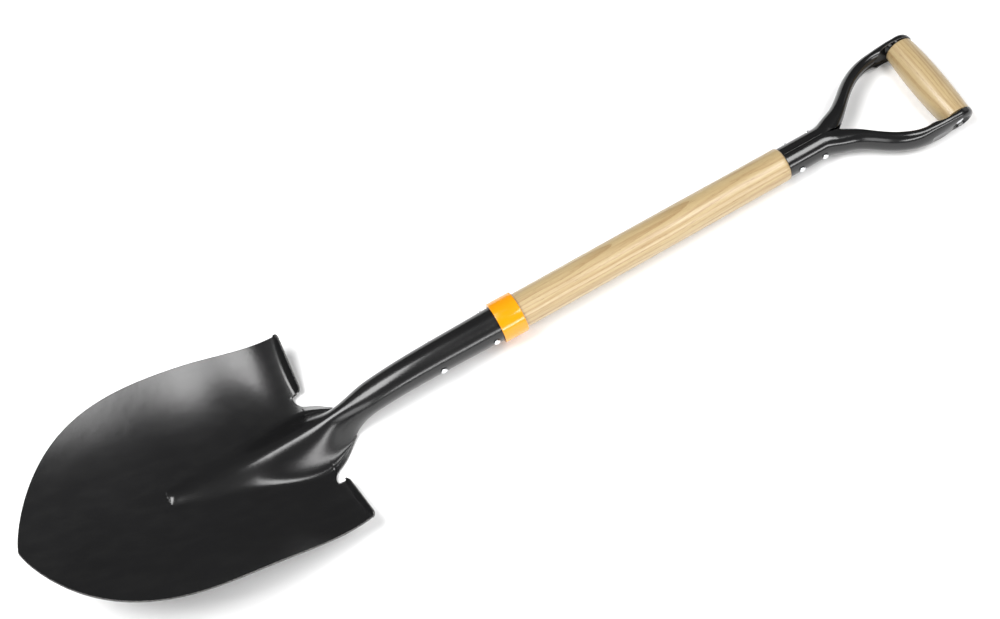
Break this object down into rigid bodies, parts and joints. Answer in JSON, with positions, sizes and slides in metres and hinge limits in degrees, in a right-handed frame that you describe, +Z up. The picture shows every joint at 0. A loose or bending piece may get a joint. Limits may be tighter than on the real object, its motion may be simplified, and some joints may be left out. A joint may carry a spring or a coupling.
{
  "type": "garden spade",
  "caption": "Round-pointed garden spade with a dished pressed blade, turned foot treads, an open socket, a wooden shaft and a D-shaped grip with a wooden crossbar.",
  "frame": {"origin": "middle of the overall box in X and Y, at the level of the ground the spade lies on", "axes": "the spade lies on its back: +X along the tool from the point to the grip, +Y to the tool's left as seen by its user, +Z up, out of the hollow front face of the blade"},
  "size_m": [1.0008, 0.231, 0.1079],
  "materials": {
    "blade_black": "semi-gloss black enamel with a fine orange-peel texture",
    "yoke_black": "glossy black enamel",
    "shaft_wood": "pale ash, clear lacquered",
    "grip_wood": "pale ash, clear lacquered",
    "collar_orange": "smooth moulded plastic",
    "rivet_zinc": "zinc plated"
  },
  "bodies": {
    "root": {"blade": "blade_black", "shaft": "shaft_wood", "collar": "collar_orange", "yoke_left": "yoke_black", "yoke_right": "yoke_black", "socket_rivet_lower": "rivet_zinc", "socket_rivet_upper": "rivet_zinc", "yoke_rivet_lower": "rivet_zinc", "yoke_rivet_upper": "rivet_zinc", "grip": "grip_wood", "grip_rivet": "rivet_zinc"}
  },
  "joints": []
}
